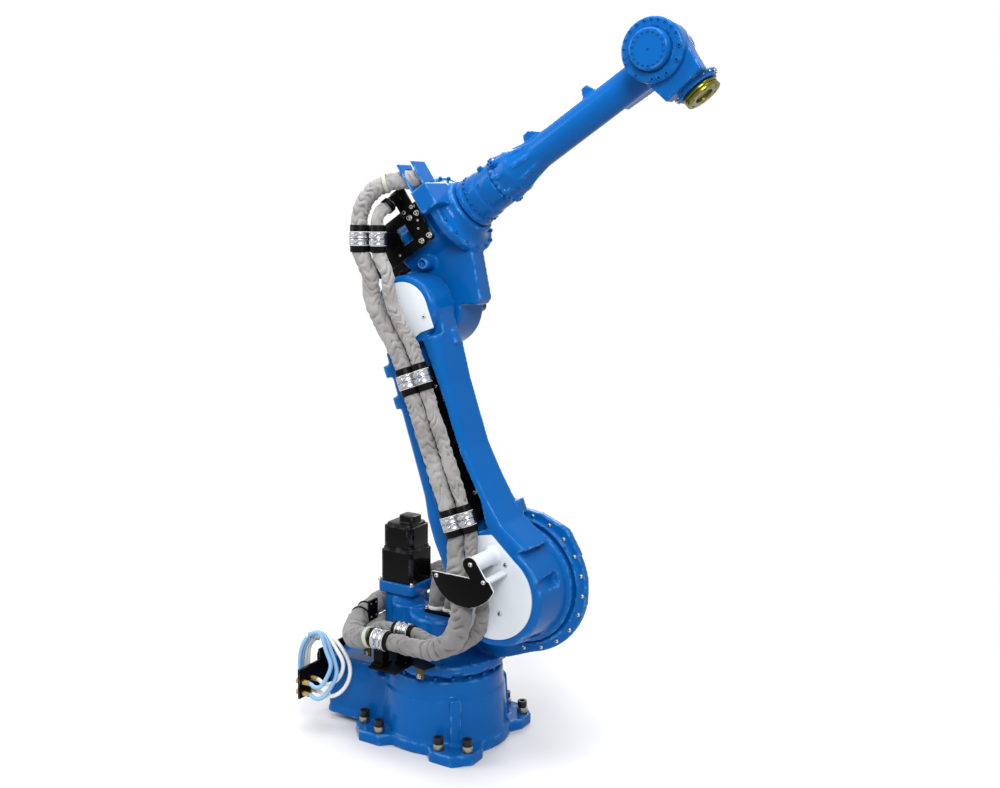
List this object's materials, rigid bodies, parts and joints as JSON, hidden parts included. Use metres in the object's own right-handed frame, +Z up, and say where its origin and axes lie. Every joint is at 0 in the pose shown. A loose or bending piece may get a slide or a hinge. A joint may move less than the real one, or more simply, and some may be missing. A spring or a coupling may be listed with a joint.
{
  "type": "industrial robot arm",
  "caption": "Floor-mounted articulated industrial robot arm: bolted cast base, turntable, leaning lower arm, long forearm, offset wrist and tool flange, with sleeved cable hoses along one side.",
  "frame": {"origin": "On the floor, in the middle of the base's flat underside, on the vertical turning axis.", "axes": "+Z up; +X the way the arm reaches at rest; -Y the side with the hoses and covers."},
  "size_m": [1.5179, 0.7495, 2.6236],
  "materials": {
    "blue_paint": "gloss machine paint",
    "black_paint": "satin black paint",
    "white_plastic": "pale moulded cover",
    "zinc": "yellow zinc plate",
    "black_steel": "black oxide",
    "brass": "machined brass",
    "blue_tube": "soft air tube",
    "white_tube": "soft air tube",
    "hose_cloth": "wrinkled woven sleeve",
    "clamp_rubber": "moulded rubber block"
  },
  "bodies": {
    "base": {"base_casting": "blue_paint", "anchor_spacers": "zinc", "anchor_bolts": "black_steel", "connector_plate": "black_paint", "connector_box": "black_paint", "brass_fittings": "brass", "blue_air_tubes": "blue_tube", "white_air_tubes": "white_tube"},
    "turntable": {"turntable_casting": "blue_paint", "turning_motor": "black_paint", "turning_motor_cap": "black_paint", "shoulder_motor": "black_paint", "shoulder_motor_cap": "black_paint", "centre_clamp": "black_paint", "hose_bracket_feet": "zinc", "hose_bracket_plate": "black_paint", "table_clamp": "clamp_rubber", "table_hoses": "hose_cloth"},
    "lower_arm": {"lower_arm_casting": "blue_paint", "shoulder_cover": "white_plastic", "elbow_cover": "white_plastic", "cable_plate": "black_paint", "lower_clamp": "clamp_rubber", "upper_clamp": "clamp_rubber", "guide_plate": "black_paint", "guide_post": "white_plastic", "guide_bracket": "white_plastic", "arm_hoses": "hose_cloth", "shoulder_hoses": "hose_cloth"},
    "upper_arm": {"upper_arm_casting": "blue_paint", "roll_motor": "black_paint", "elbow_motor": "black_paint", "hose_side_plate": "black_paint", "elbow_clamp": "clamp_rubber", "top_frame": "blue_paint", "top_hoses": "hose_cloth", "elbow_hoses": "hose_cloth"},
    "forearm": {"forearm_casting": "blue_paint"},
    "wrist": {"wrist_housing": "blue_paint", "wrist_cover": "blue_paint"},
    "tool": {"tool_flange": "zinc"}
  },
  "joints": [
    {"name": "base_turn", "type": "hinge", "parent": "base", "child": "turntable", "pos_m": [0, 0, 0.25], "axis": [0, 0, 1], "range_deg": [-180, 180]},
    {"name": "shoulder", "type": "hinge", "parent": "turntable", "child": "lower_arm", "pos_m": [0.325, 0, 0.65], "axis": [0, 1, 0], "range_deg": [-39, 97], "deforming": ["shoulder_hoses"]},
    {"name": "elbow", "type": "hinge", "parent": "lower_arm", "child": "upper_arm", "pos_m": [-0.05487, 0, 1.63959], "axis": [0, -1, 0], "range_deg": [-88, 77], "deforming": ["elbow_hoses"]},
    {"name": "forearm_roll", "type": "hinge", "parent": "upper_arm", "child": "forearm", "pos_m": [-0.17971, 0, 1.82679], "axis": [0.832, 0, 0.5548], "range_deg": [-205, 205]},
    {"name": "wrist_bend", "type": "hinge", "parent": "forearm", "child": "wrist", "pos_m": [0.85607, 0, 2.51757], "axis": [0, -1, 0], "range_deg": [-42, 208]},
    {"name": "tool_turn", "type": "hinge", "parent": "wrist", "child": "tool", "pos_m": [0.85607, 0, 2.51757], "axis": [0.6561, 0, -0.7547], "range_deg": [-360, 360]}
  ]
}
